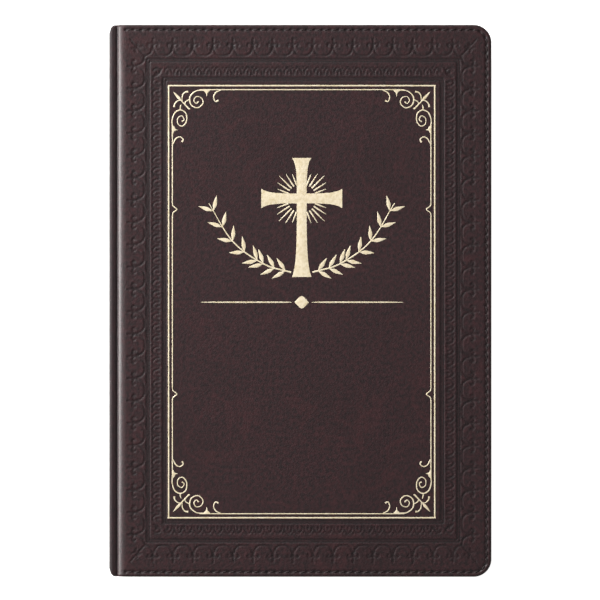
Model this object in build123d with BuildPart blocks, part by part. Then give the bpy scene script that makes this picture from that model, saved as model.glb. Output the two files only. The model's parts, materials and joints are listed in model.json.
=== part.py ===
from build123d import *
import os
from math import asin, cos, degrees, sin, sqrt

os.makedirs("parts", exist_ok=True)

# A closed book lies on its back cover. +Z runs through its thickness to the front cover, +Y to its
# head and +X from the spine to the fore-edge. The origin is under the middle of the back cover.

# Driving sizes of the whole book, in millimetres
book_height = 232.0
book_width = 160.6
book_thickness = 33.0
corner_radius = 7.5  # fore-edge corners of the covers
spine_corner_radius = 2.6  # head and tail corners of the spine
spine_bulge = 3.4  # how far the spine stands out past the two creases
square = 3.0  # how far the covers overhang the pages at head, tail and fore-edge

# Layers of a cover, from the outside in
skin_thickness = 0.8
board_thickness = 1.3
lining_thickness = 0.35  # turned-in skin, infill paper and cloth flange share this layer
pastedown_thickness = 0.2
turn_in = 12.0  # width of the skin that is folded over the board
flange_width = 24.0  # cloth glued to the board beside the spine
edge_radius = 1.0
shoulder_radius = 1.6
crease_drop = 0.15  # how far the crease along the spine lies past the board's inner face
hinge_depth = 0.9  # from a cover's outer face down to the line it turns about

# Pages
flyleaf_thickness = 0.2
leaf_gap = 0.1
section_count = 24
section_gap = 0.08
fold_radius = 0.42  # rounding of a folded section's back
fold_share = 0.45  # most of a section's thickness that this rounding may take at each side
page_corner_radius = 6.0
block_rounding = 2.4  # bulge of the sewn back, and hollow of the fore-edge

# What is glued and sewn to the backs of the sections
spine_hollow = 0.51  # open space between the spine's stiffener and the lined back of the pages
back_clearance = 0.15
mull_thickness = 0.25
spine_lining_thickness = 0.2
layer_gap = 0.02
mull_end = 12.0  # how far the cloth stops short of head and tail, where the bands' tapes are
back_end_gap = 0.5
kerf_depth = 0.9
kerf_width = 0.8
kerf_stations = 6
kerf_end = 15.0
thread_radius = 0.2
band_radius = 0.9
band_set = 0.6  # from the sewn back in to the middle of a band

# Spine of the cover
spine_skin_thickness = 0.7
stiffener_thickness = 0.35
stiffener_width = 18.0
crease_gap = 0.05

# Stitching round the three open edges
stitch_inset = 2.1
stitch_start = 2.2  # from the crease to the first stitch
channel_width = 0.8
channel_depth = 0.35
cord_width = 0.6
cord_thickness = 0.28

# Pressed lines and gold foil on the front
foil_centre = (0.25, -0.15)  # from the middle of the cover
rule_centre = (1.2, 0.1)
rule_frames = ((130.4, 201.8), (116.7, 186.0))  # middle lines of the pressed rules, wide and high
rule_width = 1.2
rule_depth = 0.25
foil_frames = ((112.1, 181.6), (108.8, 178.3))  # middle lines of the two gold frames
foil_line = 0.8
foil_thickness = 0.08
foil_recess = 0.1
emblem_y = 43.0
cross_height = 50.0
cross_width = 34.0
cross_arm = 5.0
cross_arm_y = 0.66  # height of the arms, as a share of the cross
cross_flare = 2.4
garnish_y = -0.6
garnish_length = 85.0
garnish_line = 0.7
lozenge = 4.4
spine_rules = (86.0, 56.0)
spine_lozenges = (71.0, -37.0)
spine_rule_height = 1.0
spine_rule_span = 20.0

# Places worked out from the sizes above
right_x = book_width / 2
left_x = -book_width / 2
crease_x = left_x + spine_bulge
half_height = book_height / 2
mid_z = book_thickness / 2
mid_plane = Plane.XY.offset(mid_z)
crease_depth = skin_thickness + board_thickness + crease_drop
skin_base_z = book_thickness - skin_thickness - board_thickness - lining_thickness
board_base_z = skin_base_z + lining_thickness
pastedown_z = skin_base_z - pastedown_thickness
flyleaf_z = pastedown_z - leaf_gap - flyleaf_thickness
block_top = flyleaf_z - leaf_gap
block_thickness = 2 * block_top - book_thickness
page_height = book_height - 2 * square
page_edge_x = right_x - square
back_layers = back_clearance + mull_thickness + layer_gap + spine_lining_thickness
spine_layers = spine_skin_thickness + layer_gap + stiffener_thickness
shoulder_x = left_x + spine_layers + spine_hollow + back_layers + block_rounding
page_width = page_edge_x - shoulder_x
section_pitch = block_thickness / section_count


def radius_of(chord, sagitta):
    """Radius of the arc that rises by sagitta over chord."""
    return (chord**2 / 4 + sagitta**2) / (2 * sagitta)


sewn_radius = radius_of(block_thickness, block_rounding)
sewn_centre_x = shoulder_x - block_rounding + sewn_radius
spine_chord = book_thickness - 2 * crease_depth
spine_radius = radius_of(spine_chord, spine_bulge)
spine_centre_x = left_x + spine_radius


def finish(piece, label):
    """Label a finished piece and write it as its own STEP file."""
    piece.part.label = label
    export_step(piece.part, f"parts/{label}.step")


def outline(inset, spine_edge, z):
    """Plan of a cover layer: square at the spine edge, rounded at the two fore-edge corners."""
    edge_x = right_x - inset
    with BuildSketch(Plane.XY.offset(z), mode=Mode.PRIVATE) as plan:
        with Locations(((spine_edge + edge_x) / 2, 0)):
            Rectangle(edge_x - spine_edge, book_height - 2 * inset)
        fillet(plan.vertices().group_by(Axis.X)[-1], radius=max(corner_radius - inset, 1.0))
    return plan.sketch


def channel(inset, width, spine_edge, z):
    """Plan of a strip that follows the three open edges of a cover."""
    with BuildSketch(Plane.XY.offset(z), mode=Mode.PRIVATE) as plan:
        add(outline(inset - width / 2, spine_edge, 0))
        add(outline(inset + width / 2, spine_edge - 1, 0), mode=Mode.SUBTRACT)
    return plan.sketch


def frame_line(size, line, centre, z):
    """Plan of a rectangular line round a centre."""
    wide, high = size
    with BuildSketch(Plane.XY.offset(z), mode=Mode.PRIVATE) as plan:
        with Locations(centre):
            Rectangle(wide + line, high + line)
            Rectangle(wide - line, high - line, mode=Mode.SUBTRACT)
    return plan.sketch


def emblem(z):
    """Plan of the gold cross with flared ends, and the lozenge rule below it."""
    arm = cross_arm / 2
    flare = arm + cross_flare
    cross_top = cross_height * (1 - cross_arm_y)
    cross_foot = cross_height * cross_arm_y
    reach = cross_width / 2
    ends = ((0, cross_top, 0), (0, cross_foot, 180), (0, reach, 90), (0, reach, -90))
    with BuildSketch(Plane.XY.offset(z), mode=Mode.PRIVATE) as plan:
        for _, length, turn in ends:
            with Locations(Location((foil_centre[0], emblem_y, 0), (0, 0, turn))):
                Polygon((-arm, 0), (arm, 0), (flare, length), (-flare, length), align=None)
        with Locations((foil_centre[0], garnish_y)):
            Rectangle(garnish_length, garnish_line)
        with Locations(Location((foil_centre[0], garnish_y, 0), (0, 0, 45))):
            Rectangle(lozenge, lozenge)
    return plan.sketch


def back_shell(centre_x, inner_radius, outer_radius, span, low_y, high_y):
    """Curved strip along the spine, span wide through the book's thickness."""
    with BuildPart(mode=Mode.PRIVATE) as shell:
        with BuildSketch(Plane.XZ.offset(-low_y)):
            with Locations((centre_x, mid_z)):
                Circle(outer_radius)
                Circle(inner_radius, mode=Mode.SUBTRACT)
                Rectangle(outer_radius, span, align=(Align.MAX, Align.CENTER), mode=Mode.INTERSECT)
        extrude(amount=low_y - high_y)
    return shell.part


def arc_cord(path_radius, cord_radius, y, span):
    """Round cord that crosses the sewn back, span long through the book's thickness."""
    half_angle = asin(span / 2 / path_radius)
    start = Plane(
        origin=(sewn_centre_x, 0, mid_z),
        x_dir=(-cos(half_angle), 0, -sin(half_angle)),
        z_dir=(sin(half_angle), 0, -cos(half_angle)),
    )
    with BuildPart(mode=Mode.PRIVATE) as cord:
        with BuildSketch(start):
            with Locations((path_radius, y)):
                Circle(cord_radius)
        revolve(
            axis=Axis((sewn_centre_x, 0, mid_z), (0, 1, 0)), revolution_arc=2 * degrees(half_angle)
        )
    return cord.part


def cover_skin(foiled):
    """The front cover's leather: outer face, shoulder at the spine and turned-in edges."""
    plan = outline(0, crease_x, skin_base_z)
    with BuildPart(mode=Mode.PRIVATE) as skin:
        extrude(plan, amount=book_thickness - skin_base_z)
        shoulder = skin.faces().sort_by(Axis.Z)[-1].edges().sort_by(Axis.X)[0]
        fillet(shoulder, radius=shoulder_radius)
        rim = skin.faces().sort_by(Axis.Z)[-1].edges().sort_by(Axis.X)
        fillet(rim[1:], radius=edge_radius)
        inner_x = crease_x + skin_thickness
        extrude(
            outline(skin_thickness, inner_x, board_base_z), amount=board_thickness, mode=Mode.SUBTRACT
        )
        extrude(outline(turn_in, inner_x, skin_base_z), amount=lining_thickness, mode=Mode.SUBTRACT)
        shoulder_foot = book_thickness - crease_depth - skin_base_z
        with Locations((crease_x, 0, skin_base_z)):
            Box(2 * skin_thickness, book_height, 2 * shoulder_foot, mode=Mode.SUBTRACT)
        groove_x = crease_x + stitch_start
        extrude(
            channel(stitch_inset, channel_width, groove_x, book_thickness - channel_depth),
            amount=channel_depth,
            mode=Mode.SUBTRACT,
        )
        for size in rule_frames:
            extrude(
                frame_line(size, rule_width, rule_centre, book_thickness - rule_depth),
                amount=rule_depth,
                mode=Mode.SUBTRACT,
            )
        if foiled:
            recess_z = book_thickness - foil_recess
            for size in foil_frames:
                line = frame_line(size, foil_line, foil_centre, recess_z)
                extrude(line, amount=foil_recess, mode=Mode.SUBTRACT)
            extrude(emblem(recess_z), amount=foil_recess, mode=Mode.SUBTRACT)
    return skin.part


# The two covers: skin, board, paper infill, cloth flange, pastedown, flyleaf and stitching.
# The back cover's pieces mirror the front ones through the middle of the thickness.
with BuildPart() as front_cover_skin:
    add(cover_skin(foiled=True))
finish(front_cover_skin, "front_cover_skin")

with BuildPart() as back_cover_skin:
    mirror(cover_skin(foiled=False), about=mid_plane)
finish(back_cover_skin, "back_cover_skin")

board_x = crease_x + skin_thickness
flange_x = board_x + flange_width

with BuildPart() as front_board:
    extrude(outline(skin_thickness, board_x, board_base_z), amount=board_thickness)

with BuildPart() as front_infill:
    extrude(outline(turn_in, flange_x, skin_base_z), amount=lining_thickness)

with BuildPart() as front_mull_flange:
    with BuildSketch(Plane.XY.offset(skin_base_z)):
        with Locations((board_x, 0)):
            Rectangle(flange_width, book_height - 2 * turn_in, align=(Align.MIN, Align.CENTER))
    extrude(amount=lining_thickness)

with BuildPart() as front_pastedown:
    extrude(outline(square, board_x, pastedown_z), amount=pastedown_thickness)

with BuildPart() as front_flyleaf:
    with BuildSketch(Plane.XY.offset(flyleaf_z)) as leaf:
        with Locations((shoulder_x, 0)):
            Rectangle(page_width, page_height, align=(Align.MIN, Align.CENTER))
        fillet(leaf.vertices().group_by(Axis.X)[-1], radius=page_corner_radius)
    extrude(amount=flyleaf_thickness)

with BuildPart() as front_stitching:
    cord_base_z = book_thickness - channel_depth
    extrude(
        channel(stitch_inset, cord_width, crease_x + stitch_start, cord_base_z),
        amount=cord_thickness,
    )

cover_pieces = {
    "board": front_board,
    "infill": front_infill,
    "mull_flange": front_mull_flange,
    "pastedown": front_pastedown,
    "flyleaf": front_flyleaf,
    "stitching": front_stitching,
}
for name, front_piece in cover_pieces.items():
    finish(front_piece, f"front_{name}")
    with BuildPart() as back_piece:
        mirror(front_piece.part, about=mid_plane)
    finish(back_piece, f"back_{name}")

# Gold foil, pressed just below the front cover's face
foil_z = book_thickness - foil_recess
with BuildPart() as front_foil_frame:
    for frame_size in foil_frames:
        extrude(frame_line(frame_size, foil_line, foil_centre, foil_z), amount=foil_thickness)
finish(front_foil_frame, "front_foil_frame")

with BuildPart() as front_foil_emblem:
    extrude(emblem(foil_z), amount=foil_thickness)
finish(front_foil_emblem, "front_foil_emblem")

# Folded and sewn sections, number 1 at the front. Each back touches the rounded sewn arc.
kerf_span = page_height - 2 * kerf_end
kerf_ys = [kerf_span * (i / (kerf_stations - 1) - 0.5) for i in range(kerf_stations)]
for number in range(1, section_count + 1):
    middle_z = block_top - (number - 0.5) * section_pitch
    back_x = sewn_centre_x - sqrt(sewn_radius**2 - (middle_z - mid_z) ** 2)
    thickness = section_pitch - section_gap
    with BuildPart() as section:
        with BuildSketch(Plane.XY.offset(middle_z - thickness / 2)) as page:
            with Locations((back_x, 0)):
                Rectangle(page_width, page_height, align=(Align.MIN, Align.CENTER))
            fillet(page.vertices().group_by(Axis.X)[-1], radius=page_corner_radius)
        extrude(amount=thickness)
        back_edges = section.faces().sort_by(Axis.X)[0].edges().filter_by(Axis.Y)
        fillet(back_edges, radius=min(fold_radius, fold_share * thickness))
        with Locations(*[(back_x, kerf_y, middle_z) for kerf_y in kerf_ys]):
            Box(2 * kerf_depth, kerf_width, section_pitch, mode=Mode.SUBTRACT)
    finish(section, f"section_{number:02d}")

with BuildPart() as sewing_threads:
    for kerf_y in kerf_ys:
        cord_path = sewn_radius - thread_radius
        add(arc_cord(cord_path, thread_radius, kerf_y, block_thickness - section_pitch))
finish(sewing_threads, "sewing_threads")

# Cloth, paper and bands on the sewn back
mull_radius = sewn_radius + back_clearance
mull_outer = mull_radius + mull_thickness
back_span = block_thickness - 2 * section_pitch
mull_top = page_height / 2 - mull_end
back_top = page_height / 2 - back_end_gap

with BuildPart() as mull:
    add(back_shell(sewn_centre_x, mull_radius, mull_outer, back_span, -mull_top, mull_top))
finish(mull, "mull")

with BuildPart() as spine_lining:
    lining_radius = mull_outer + layer_gap
    lining_outer = lining_radius + spine_lining_thickness
    add(back_shell(sewn_centre_x, lining_radius, lining_outer, back_span, -back_top, back_top))
finish(spine_lining, "spine_lining")

with BuildPart() as headband:
    band_y = page_height / 2 + band_radius
    tape_low = mull_top + back_end_gap
    add(arc_cord(sewn_radius - band_set, band_radius, band_y, back_span - 2 * band_radius))
    add(back_shell(sewn_centre_x, mull_radius, mull_outer, back_span, tape_low, band_y))
finish(headband, "headband")

with BuildPart() as tailband:
    mirror(headband.part, about=Plane.XZ)
finish(tailband, "tailband")

# The spine of the cover: skin with rounded head and tail, card stiffener and gold ornaments
with BuildPart() as spine_skin:
    skin_inner = spine_radius - spine_skin_thickness
    add(
        back_shell(
            spine_centre_x, skin_inner, spine_radius, spine_chord - 2 * crease_gap, -half_height, half_height
        )
    )
    with BuildSketch(Plane.XY) as spine_plan:
        with Locations((left_x, 0)):
            Rectangle(2 * spine_bulge, book_height, align=(Align.MIN, Align.CENTER))
        fillet(spine_plan.vertices().group_by(Axis.X)[0], radius=spine_corner_radius)
    extrude(amount=book_thickness, mode=Mode.INTERSECT)
    foil_floor = spine_radius - foil_recess
    foil_clear = spine_radius + 1
    for rule_y in spine_rules:
        low = rule_y - spine_rule_height / 2
        high = rule_y + spine_rule_height / 2
        band = back_shell(spine_centre_x, foil_floor, foil_clear, spine_rule_span, low, high)
        add(band, mode=Mode.SUBTRACT)
    for lozenge_y in spine_lozenges:
        low = lozenge_y - lozenge / 2
        high = lozenge_y + lozenge / 2
        patch = back_shell(spine_centre_x, foil_floor, foil_clear, lozenge, low, high)
        add(patch, mode=Mode.SUBTRACT)
finish(spine_skin, "spine_skin")

with BuildPart() as spine_foil:
    foil_outer = foil_floor + foil_thickness
    for rule_y in spine_rules:
        low = rule_y - spine_rule_height / 2
        high = rule_y + spine_rule_height / 2
        add(back_shell(spine_centre_x, foil_floor, foil_outer, spine_rule_span, low, high))
    for lozenge_y in spine_lozenges:
        low = lozenge_y - lozenge / 2
        high = lozenge_y + lozenge / 2
        add(back_shell(spine_centre_x, foil_floor, foil_outer, lozenge, low, high))
finish(spine_foil, "spine_foil")

with BuildPart() as spine_stiffener:
    stiffener_outer = spine_radius - spine_skin_thickness - layer_gap
    stiffener_inner = stiffener_outer - stiffener_thickness
    add(
        back_shell(
            spine_centre_x, stiffener_inner, stiffener_outer, stiffener_width, -back_top, back_top
        )
    )
finish(spine_stiffener, "spine_stiffener")

print(f"front cover turns about x {crease_x:.3f}, z {book_thickness - hinge_depth:.3f}")
print(f"back cover turns about x {crease_x:.3f}, z {hinge_depth:.3f}")
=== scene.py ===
# %% [markdown]
# # A leather-bound bible
# The book lies closed on its back cover. It is a dark brown leather case with pressed borders, gold
# foil and a stitched edge, round a block of folded and sewn sections. The frame gives every place:
# +Z goes up through the thickness, +Y to the head, +X from the spine to the fore-edge. Small things
# are worked out in millimetres and only the mesh maker turns them into metres.

# %% Load the frame
import json
import math

import bpy
import numpy as np
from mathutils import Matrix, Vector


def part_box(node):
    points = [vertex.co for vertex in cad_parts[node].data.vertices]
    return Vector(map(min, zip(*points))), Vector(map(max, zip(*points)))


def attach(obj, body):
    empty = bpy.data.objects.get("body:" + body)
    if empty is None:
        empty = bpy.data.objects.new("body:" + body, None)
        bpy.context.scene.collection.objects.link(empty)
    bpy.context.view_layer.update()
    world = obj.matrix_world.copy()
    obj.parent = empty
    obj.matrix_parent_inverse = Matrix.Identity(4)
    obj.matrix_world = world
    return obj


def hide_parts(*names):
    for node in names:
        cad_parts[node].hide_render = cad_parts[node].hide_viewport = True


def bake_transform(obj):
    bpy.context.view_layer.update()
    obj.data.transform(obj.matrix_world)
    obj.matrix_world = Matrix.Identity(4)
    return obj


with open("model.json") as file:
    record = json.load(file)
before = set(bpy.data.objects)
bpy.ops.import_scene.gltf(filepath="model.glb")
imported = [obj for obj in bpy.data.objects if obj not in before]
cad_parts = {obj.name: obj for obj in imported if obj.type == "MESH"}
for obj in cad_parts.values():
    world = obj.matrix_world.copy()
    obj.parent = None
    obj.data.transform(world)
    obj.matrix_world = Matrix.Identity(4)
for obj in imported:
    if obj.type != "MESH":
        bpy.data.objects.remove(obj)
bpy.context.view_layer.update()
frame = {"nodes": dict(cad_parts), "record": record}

MM = 0.001
skin_low, skin_high = (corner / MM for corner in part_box("front_cover_skin"))
spine_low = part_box("spine_skin")[0] / MM
crease_x = skin_low.x
right_x = skin_high.x
left_x = spine_low.x
half_height = skin_high.y
thickness = skin_high.z
turned_z = skin_low.z
mid_z = thickness / 2
print(f"book {right_x - left_x:.1f} x {2 * half_height:.1f} x {thickness:.1f} mm")

# %% [markdown]
# ## Camera
# The cover is seen from straight above. A long lens keeps the four edges parallel, so the sides of
# the book hardly show. The square view is a little larger than the book is high.

# %% Camera
VIEW_WIDTH = 252.0
LENS = 200.0
SENSOR = 36.0
AIM = (-0.17, 0.34)

camera_data = bpy.data.cameras.new("camera")
camera_data.lens = LENS
camera_data.sensor_width = SENSOR
camera_data.clip_end = 20.0
camera = bpy.data.objects.new("camera", camera_data)
bpy.context.scene.collection.objects.link(camera)
camera_distance = VIEW_WIDTH * LENS / SENSOR
camera.location = (AIM[0] * MM, AIM[1] * MM, (thickness + camera_distance) * MM)
bpy.context.scene.camera = camera
print(f"camera {camera_distance:.0f} mm above the cover")

# %% [markdown]
# ## Light and floor
# Dark leather is shown by what it mirrors. A broad soft light low on the upper left puts a bright
# line on the rounded shoulder beside the spine and a small glint in each pressed groove, while
# nothing bright stands beside the camera, so the flat leather stays dark. The floor is white and
# gives a little light of its own, as a lit table does, so that the book stands on plain white.

# %% Lights
bpy.context.scene.view_settings.view_transform = "Standard"


def soft_light(name, place, size, power):
    """A square area light that points at the middle of the book."""
    data = bpy.data.lights.new(name, "AREA")
    data.size = size
    data.energy = power
    light = bpy.data.objects.new(name, data)
    light.location = place
    light.rotation_mode = "QUATERNION"
    light.rotation_quaternion = (-light.location).to_track_quat("-Z", "Y")
    bpy.context.scene.collection.objects.link(light)
    return light


soft_light("key_light", (-0.8, 0.75, 0.95), 0.6, 25.0)
soft_light("side_light", (-1.15, 0.2, 0.38), 0.45, 33.0)
soft_light("fill_light", (1.2, -0.9, 1.0), 1.2, 6.0)
print("lights: key, side, fill")

# %% [markdown]
# ## Helpers
# Colours are written as the hex values of a colour picker and turned to linear light by one
# function. One function adds a shader node with its settings and links, and another gives a shader
# its two tones and its bump. One function makes a mesh piece, and it stores where each point lies at
# rest, so that grain and wear stay on the leather when the cover bends.


# %% Colour and node helpers
def linear(code):
    """Linear colour of an sRGB hex value."""
    parts = [int(code[i : i + 2], 16) / 255 for i in (1, 3, 5)]
    return (*[p / 12.92 if p <= 0.04045 else ((p + 0.055) / 1.055) ** 2.4 for p in parts], 1)


def add_node(tree, kind, inputs=None, **settings):
    """Add one node. Settings go on the node, and inputs hold values or sockets to link."""
    made = tree.nodes.new("ShaderNode" + kind)
    for name, value in settings.items():
        setattr(made, name, value)
    for name, value in (inputs or {}).items():
        if isinstance(value, bpy.types.NodeSocket):
            tree.links.new(value, made.inputs[name])
        else:
            made.inputs[name].default_value = value
    return made


def new_material(name):
    """An empty node material: its tree and its Principled shader."""
    material = bpy.data.materials.new(name)
    material.use_nodes = True
    return material, material.node_tree, material.node_tree.nodes["Principled BSDF"]


def tones_and_bump(tree, shader, share, tones, height, strength, depth, invert=False):
    """Colour from two tones mixed by share, and a bump of depth millimetres from height."""
    first, second = (linear(tone) for tone in tones)
    mixed = add_node(tree, "Mix", {0: share, 6: first, 7: second}, data_type="RGBA")
    press = {"Height": height, "Strength": strength, "Distance": depth * MM}
    bump = add_node(tree, "Bump", press, invert=invert)
    tree.links.new(mixed.outputs[2], shader.inputs["Base Color"])
    tree.links.new(bump.outputs["Normal"], shader.inputs["Normal"])


# %% Mesh helper
def make_piece(name, points, faces, materials, face_slots=None, smooth=True, **marks):
    """A mesh piece from points in millimetres. marks are numbers kept for each point."""
    points = np.asarray(points, float)
    used = np.unique(np.concatenate([np.asarray(f).ravel() for f in faces]))
    place = np.full(len(points), -1)
    place[used] = np.arange(len(used))
    mesh = bpy.data.meshes.new(name)
    metres = points[used] * MM
    mesh.from_pydata(metres.tolist(), [], [[int(place[i]) for i in f] for f in faces])
    rest = mesh.attributes.new("rest", "FLOAT_VECTOR", "POINT")
    rest.data.foreach_set("vector", metres.astype(np.float32).ravel())
    for mark, values in marks.items():
        kept = mesh.attributes.new(mark, "FLOAT", "POINT")
        kept.data.foreach_set("value", np.asarray(values, np.float32)[used])
    for material in materials:
        mesh.materials.append(material)
    if face_slots is not None:
        mesh.polygons.foreach_set("material_index", np.asarray(face_slots, np.int32))
    mesh.polygons.foreach_set("use_smooth", np.full(len(mesh.polygons), smooth))
    mesh.update()
    piece = bpy.data.objects.new(name, mesh)
    bpy.context.scene.collection.objects.link(piece)
    print(f"{name}: {len(mesh.vertices)} points, {len(mesh.polygons)} faces")
    return piece


# %% Surroundings and floor
HORIZON_STRENGTH = 0.4
ZENITH_STRENGTH = 0.06
world = bpy.data.worlds.new("studio")
world.use_nodes = True
tree = world.node_tree
direction = add_node(tree, "TexCoord").outputs["Generated"]
up = add_node(tree, "SeparateXYZ", {"Vector": direction}).outputs["Z"]
fade = add_node(
    tree,
    "MapRange",
    {"Value": up, "From Max": 0.3, "To Min": HORIZON_STRENGTH, "To Max": ZENITH_STRENGTH},
)
background = tree.nodes["Background"]
background.inputs["Color"].default_value = (1, 1, 1, 1)
tree.links.new(fade.outputs["Result"], background.inputs["Strength"])
bpy.context.scene.world = world

floor_material, tree, shader = new_material("white_table")
speckle = add_node(tree, "TexNoise", {"Scale": 40.0, "Detail": 3.0})
floor_tone = add_node(
    tree,
    "Mix",
    {0: speckle.outputs["Fac"], 6: linear("#c4c4c4"), 7: linear("#bcbcbc")},
    data_type="RGBA",
)
tree.links.new(floor_tone.outputs[2], shader.inputs["Base Color"])
shader.inputs["Roughness"].default_value = 0.9
shader.inputs["Emission Color"].default_value = (1, 1, 1, 1)
shader.inputs["Emission Strength"].default_value = 0.95
FLOOR_SIDE = 6000.0
FLOOR_DROP = 0.05
corners = [(-1, -1), (1, -1), (1, 1), (-1, 1)]
floor_points = [(x * FLOOR_SIDE / 2, y * FLOOR_SIDE / 2, -FLOOR_DROP) for x, y in corners]
floor = make_piece("floor", floor_points, [(0, 1, 2, 3)], [floor_material])

# %% [markdown]
# ## Leather
# The case is covered in bonded leather: a dark brown hide with an embossed fine pebble grain and a
# thin clear finish. The eye reads it from five things: a fine reddish and grey mottling, a few faint
# red veins, pebbles of about half a millimetre, faint wrinkles, and a burnished, darker floor in the
# pressed lines. The pebbles are drawn at 0.9 mm, about twice their real size, so that they show. A
# roughness of about 0.5 and a low specular level are those of a satin finish, and the IOR of 1.5 is
# that of its resin. Where hands and the binder's iron have polished it, on the shoulder beside the
# spine and in the pressed lines, a thin coat of wax adds a brighter, slightly speckled shine.
#
# Every pattern below takes its size in millimetres from a name. Colours are laid over each other in
# order: the mottling, the clouds, the veins, then one dark tone. That last tone is the burnished
# floor of the pressed lines, and it is also painted shade in the crease, the stitch holes, along the
# spine and in a rim round the gold.

# %% Leather material
GRAIN = 0.9
MOTTLE = 1.5
CLOUD = 38.0
CLOUD_STRENGTH = 0.35
WRINKLE = 7.0
WRINKLE_BEND = 0.012
VEIN_SIZE = 20.0
VEIN_WIDTH = 0.035
VEIN_STRENGTH = 0.15
SATIN = (0.42, 0.62)
SATIN_SHINE = 0.2
WAX_ROUGHNESS = 0.42


def leather_material(name, ground, fleck, cloud_tone, vein_tone, pressed_tone):
    """Bonded leather: mottled colour, veins, pebble grain, wrinkles, darkened tooling and painted shade.
    """
    material, tree, shader = new_material(name)
    rest = add_node(tree, "Attribute", attribute_name="rest").outputs["Vector"]
    mottle = add_node(tree, "TexNoise", {"Vector": rest, "Scale": 1 / (MOTTLE * MM), "Detail": 5.0})
    spread = add_node(
        tree, "MapRange", {"Value": mottle.outputs["Fac"], "From Min": 0.36, "From Max": 0.64}
    )
    cloud = add_node(tree, "TexNoise", {"Vector": rest, "Scale": 1 / (CLOUD * MM), "Detail": 3.0})
    clouds = {"Value": cloud.outputs["Fac"], "From Min": 0.3, "From Max": 0.7, "To Max": CLOUD_STRENGTH}
    shade = add_node(tree, "MapRange", clouds)

    drift = add_node(tree, "TexNoise", {"Vector": rest, "Scale": 0.4 / (WRINKLE * MM), "Detail": 2.0})
    bent = add_node(
        tree,
        "VectorMath",
        {0: drift.outputs["Color"], 1: (WRINKLE_BEND,) * 3, 2: rest},
        operation="MULTIPLY_ADD",
    )
    wrinkle = add_node(
        tree,
        "TexVoronoi",
        {"Vector": bent.outputs["Vector"], "Scale": 1 / (WRINKLE * MM)},
        feature="DISTANCE_TO_EDGE",
    )
    crack = add_node(
        tree, "MapRange", {"Value": wrinkle.outputs["Distance"], "From Min": 0.0, "From Max": 0.09}
    )
    wander = add_node(
        tree,
        "TexNoise",
        {"Vector": rest, "Scale": 1 / (VEIN_SIZE * MM), "Detail": 5.0, "Distortion": 0.6},
    )
    offset = add_node(tree, "Math", {0: wander.outputs["Fac"], 1: 0.5}, operation="SUBTRACT")
    from_vein = add_node(tree, "Math", {0: offset.outputs["Value"]}, operation="ABSOLUTE")
    line = {"Value": from_vein.outputs["Value"], "From Max": VEIN_WIDTH}
    vein = add_node(tree, "MapRange", {**line, "To Min": VEIN_STRENGTH, "To Max": 0.0})
    patch = add_node(
        tree, "MapRange", {"Value": cloud.outputs["Fac"], "From Min": 0.4, "From Max": 0.56}
    )
    vein_share = add_node(
        tree, "Math", {0: vein.outputs["Result"], 1: patch.outputs["Result"]}, operation="MULTIPLY"
    )
    pressed = add_node(tree, "Attribute", attribute_name="pressed").outputs["Fac"]

    # The last layer is one dark tone: the floor of tooled lines, and painted shade in the crease, stitch
    # holes, spine and gold rims.
    colour = linear(ground)
    layers = [
        (spread.outputs["Result"], fleck),
        (shade.outputs["Result"], cloud_tone),
        (vein_share.outputs["Value"], vein_tone),
        (pressed, pressed_tone),
    ]
    for share, tone in layers:
        mixed = add_node(tree, "Mix", {0: share, 6: colour, 7: linear(tone)}, data_type="RGBA")
        colour = mixed.outputs[2]
    tree.links.new(colour, shader.inputs["Base Color"])
    polish = add_node(tree, "Attribute", attribute_name="polish").outputs["Fac"]

    pebble = add_node(tree, "TexVoronoi", {"Vector": rest, "Scale": 1 / (GRAIN * MM)})
    pore = add_node(tree, "TexNoise", {"Vector": rest, "Scale": 2 / (GRAIN * MM), "Detail": 3.0})
    coarse = add_node(
        tree, "Bump", {"Height": crack.outputs["Result"], "Strength": 0.06, "Distance": 0.12 * MM}
    )
    grain = add_node(
        tree,
        "Bump",
        {
            "Height": pebble.outputs["Distance"],
            "Strength": 0.5,
            "Distance": 0.1 * MM,
            "Normal": coarse.outputs["Normal"],
        },
        invert=True,
    )
    fine = add_node(
        tree,
        "Bump",
        {
            "Height": pore.outputs["Fac"],
            "Strength": 0.75,
            "Distance": 0.12 * MM,
            "Normal": grain.outputs["Normal"],
        },
    )
    tree.links.new(fine.outputs["Normal"], shader.inputs["Normal"])
    satin = {"Value": pore.outputs["Fac"], "To Min": SATIN[0], "To Max": SATIN[1]}
    gloss = add_node(tree, "MapRange", satin)
    burnished = add_node(tree, "Mix", {0: polish, 2: gloss.outputs["Result"], 3: WAX_ROUGHNESS})
    tree.links.new(burnished.outputs[0], shader.inputs["Roughness"])
    speckle = add_node(
        tree,
        "MapRange",
        {"Value": pore.outputs["Fac"], "From Min": 0.38, "From Max": 0.6, "To Min": 0.3},
    )
    wax = add_node(tree, "Math", {0: polish, 1: speckle.outputs["Result"]}, operation="MULTIPLY")
    tree.links.new(wax.outputs["Value"], shader.inputs["Coat Weight"])
    shader.inputs["Coat Roughness"].default_value = WAX_ROUGHNESS
    shader.inputs["Specular IOR Level"].default_value = SATIN_SHINE
    shader.inputs["IOR"].default_value = 1.5
    return material


cover_leather = leather_material(
    "bonded_leather", "#342022", "#221a1b", "#231718", vein_tone="#4e282a", pressed_tone="#140d0e"
)
print("leather: pebbles", GRAIN, "mm, mottling", MOTTLE, "mm")

# %% [markdown]
# ## Gold foil
# The lines are hot-stamped foil: a film of pale gold colour on a lacquer, pressed into the leather
# with a heated die. It is not solid metal, so it is only partly metallic and reads as a warm cream
# even where it mirrors nothing. Its roughness of 0.42 comes from the leather grain under it, and a
# fine rubbed pattern from handling.

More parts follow.
